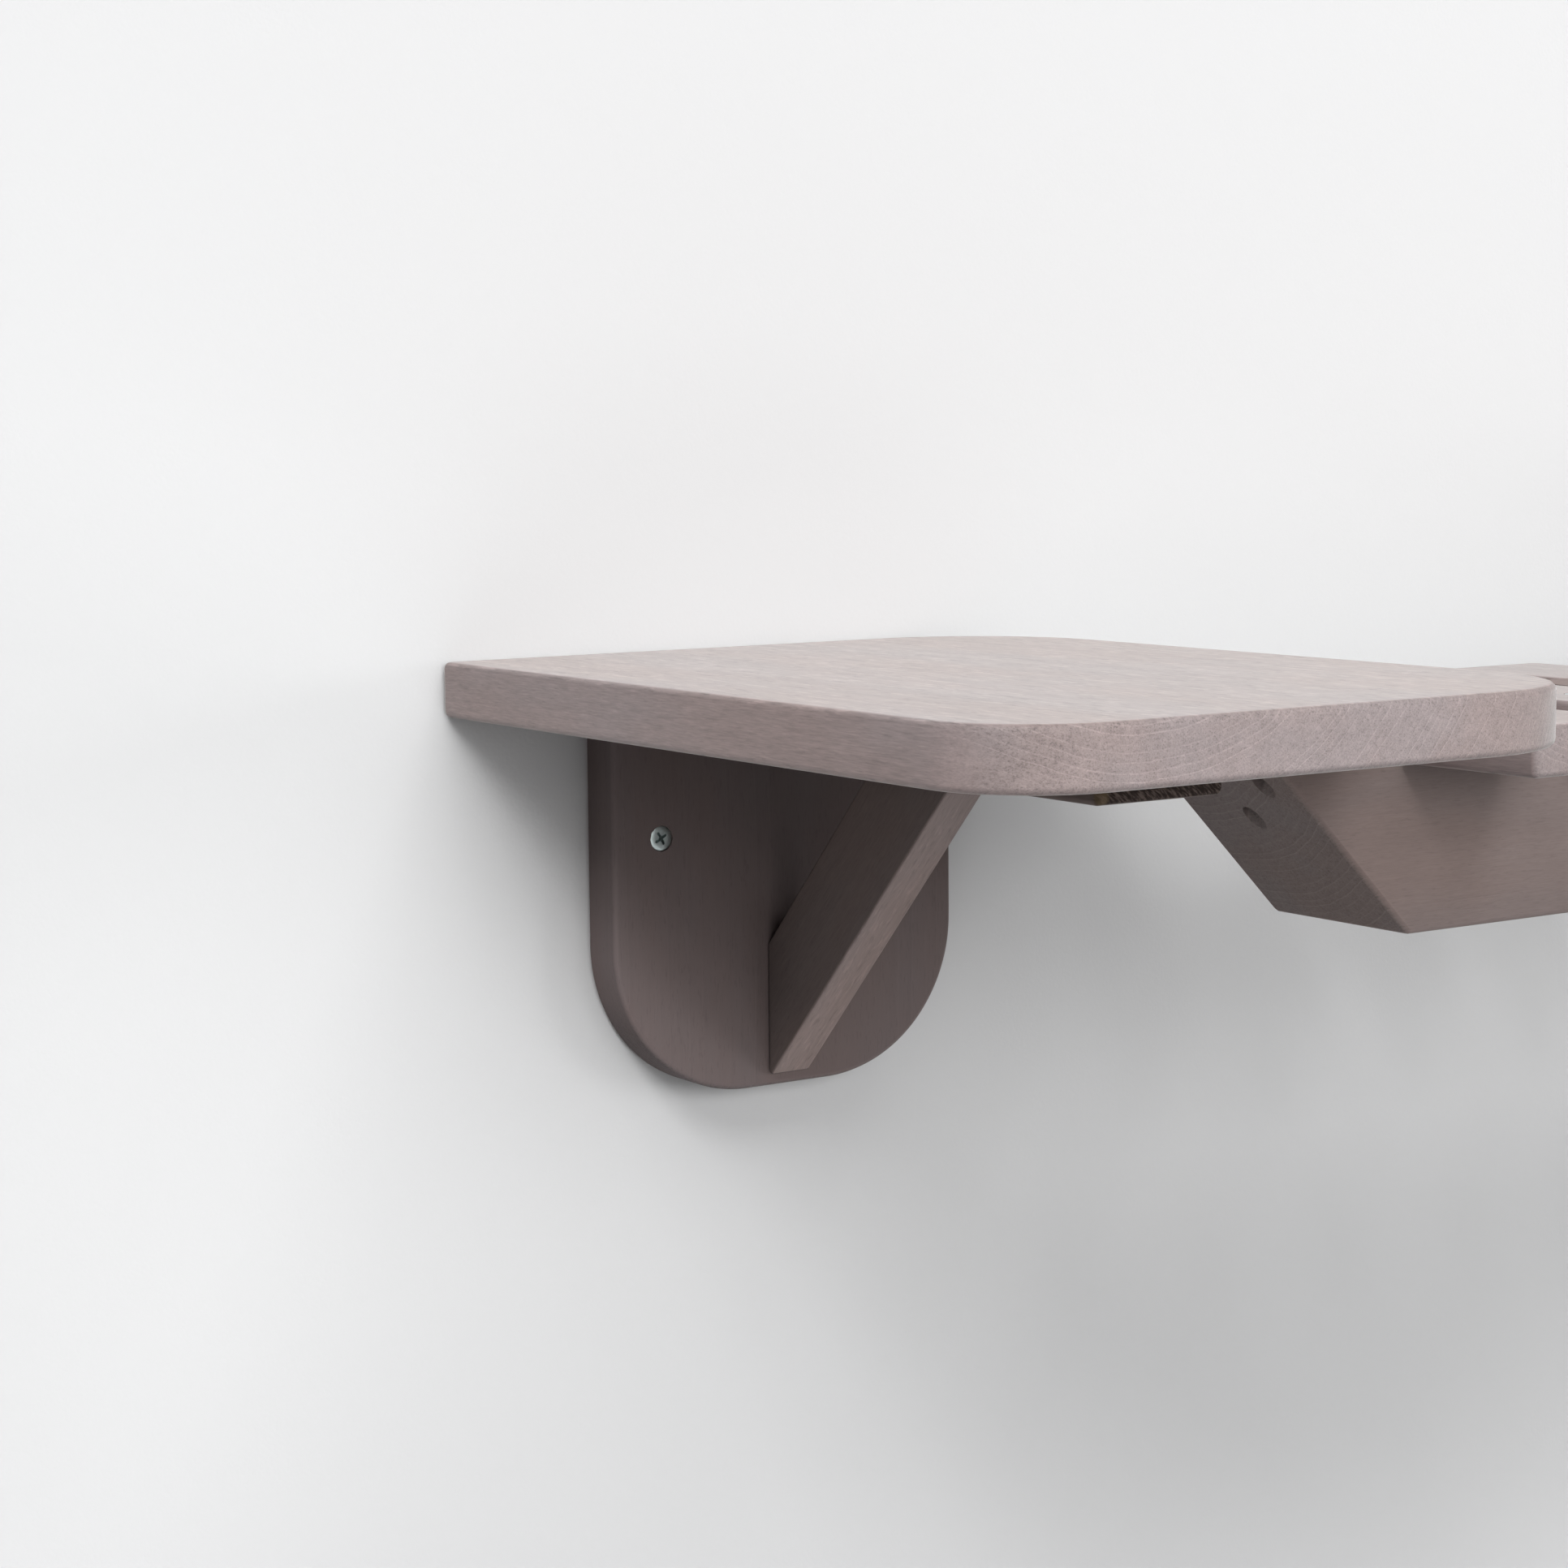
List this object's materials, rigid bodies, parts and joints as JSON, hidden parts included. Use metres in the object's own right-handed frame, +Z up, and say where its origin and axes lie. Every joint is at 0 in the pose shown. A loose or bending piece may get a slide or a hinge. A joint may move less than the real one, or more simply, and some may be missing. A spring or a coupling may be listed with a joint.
{
  "type": "cat wall bridge",
  "caption": "Wall-hung cat bridge: rounded wooden platforms on braced wall brackets, joined by a spine beam that carries spaced wooden slats.",
  "frame": {"origin": "on the wall plane, on the back face of the left wall plate, midway between its two wall screws", "axes": "+X along the wall from the left platform to the right one, +Y into the wall, +Z up; the bridge stands out from the wall towards -Y"},
  "size_m": [1, 0.33, 0.1665],
  "materials": {
    "platform_wood": "grey-mauve stained, matt, worn at the edges",
    "slat_wood": "grey-mauve stained, matt",
    "bracket_wood": "grey-mauve stained, matt",
    "beam_wood": "grey-mauve stained, matt",
    "zinc_screw": "bright zinc, cross recess"
  },
  "bodies": {
    "root": {"platform_left": "platform_wood", "wall_plate_left": "bracket_wood", "brace_left": "bracket_wood", "arm_left": "bracket_wood", "platform_right": "platform_wood", "wall_plate_right": "bracket_wood", "brace_right": "bracket_wood", "arm_right": "bracket_wood", "spine_beam": "beam_wood", "slat_1": "slat_wood", "slat_2": "slat_wood", "slat_3": "slat_wood", "slat_4": "slat_wood", "slat_5": "slat_wood", "slat_6": "slat_wood", "wall_screw_left_1": "zinc_screw", "wall_screw_left_2": "zinc_screw", "arm_screw_left_1": "zinc_screw", "arm_screw_left_2": "zinc_screw", "brace_foot_screw_left_1": "zinc_screw", "brace_head_screw_left_1": "zinc_screw", "platform_screw_left_1": "zinc_screw", "platform_screw_left_2": "zinc_screw", "platform_screw_left_3": "zinc_screw", "beam_screw_left_1": "zinc_screw", "beam_screw_left_2": "zinc_screw", "beam_screw_left_3": "zinc_screw", "wall_screw_right_1": "zinc_screw", "wall_screw_right_2": "zinc_screw", "arm_screw_right_1": "zinc_screw", "arm_screw_right_2": "zinc_screw", "brace_foot_screw_right_1": "zinc_screw", "brace_head_screw_right_1": "zinc_screw", "platform_screw_right_1": "zinc_screw", "platform_screw_right_2": "zinc_screw", "platform_screw_right_3": "zinc_screw", "beam_screw_right_1": "zinc_screw", "beam_screw_right_2": "zinc_screw", "beam_screw_right_3": "zinc_screw", "slat_screw_1_1": "zinc_screw", "slat_screw_1_2": "zinc_screw", "slat_screw_2_1": "zinc_screw", "slat_screw_2_2": "zinc_screw", "slat_screw_3_1": "zinc_screw", "slat_screw_3_2": "zinc_screw", "slat_screw_4_1": "zinc_screw", "slat_screw_4_2": "zinc_screw", "slat_screw_5_1": "zinc_screw", "slat_screw_5_2": "zinc_screw", "slat_screw_6_1": "zinc_screw", "slat_screw_6_2": "zinc_screw"}
  },
  "joints": []
}
